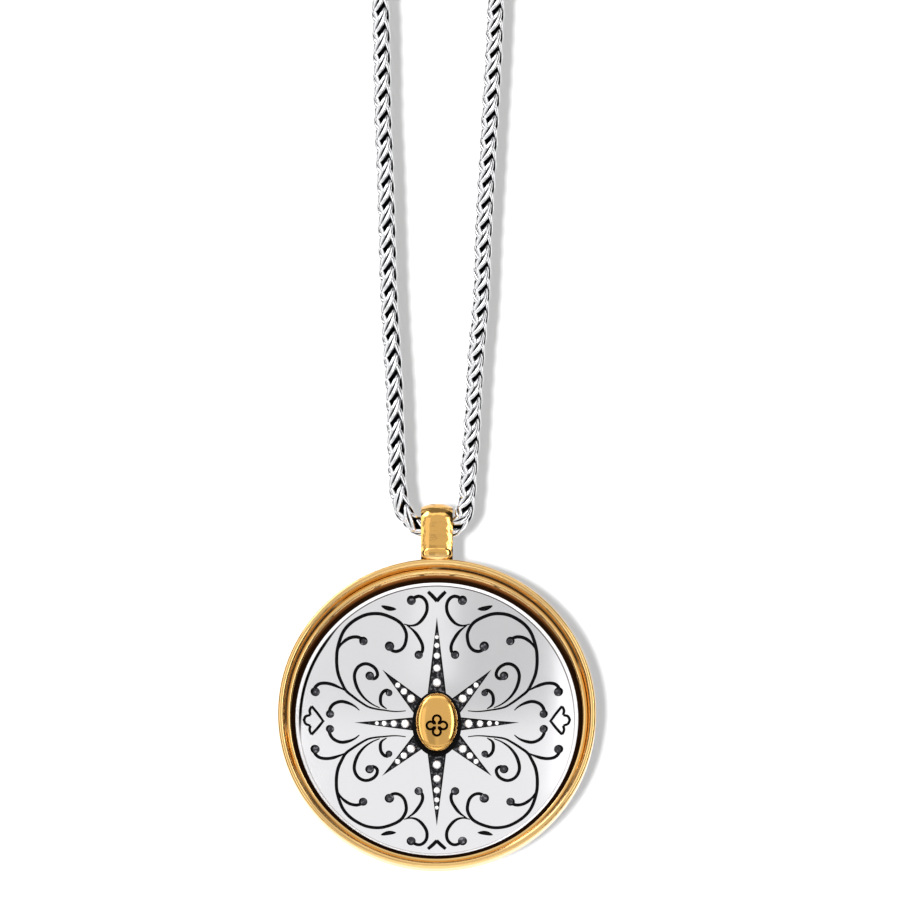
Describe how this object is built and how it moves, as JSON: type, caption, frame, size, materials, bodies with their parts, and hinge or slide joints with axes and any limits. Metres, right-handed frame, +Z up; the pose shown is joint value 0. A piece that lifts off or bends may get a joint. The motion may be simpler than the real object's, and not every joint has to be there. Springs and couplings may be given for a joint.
{
  "type": "round medallion pendant necklace",
  "caption": "Round medallion pendant with a dished face, raised star and bezel, whose bail hangs on a long loop of wheat chain with a barrel clasp.",
  "frame": {"origin": "under the middle of the clasp, at the crown of the loop, where the necklace hangs", "axes": "+Z up, from the pendant to the clasp; the pendant's face looks along -Y; X from strand to strand"},
  "size_m": [0.05, 0.0095, 0.4231],
  "materials": {
    "gold_plate": "polished gold plate",
    "silver_plate": "polished silver plate, blackened in the sunk places",
    "chain_silver": "polished silver wire, blackened between the links"
  },
  "bodies": {
    "necklace": {"chain": "chain_silver", "clasp": "silver_plate"},
    "pendant": {"bezel": "gold_plate", "face": "silver_plate", "cabochon": "gold_plate", "back_plate": "silver_plate"}
  },
  "joints": [
    {"name": "pendant_swing", "type": "hinge", "parent": "necklace", "child": "pendant", "pos_m": [0, 0, -0.3635], "axis": [1, 0, 0], "range_deg": [-90, 90]}
  ]
}
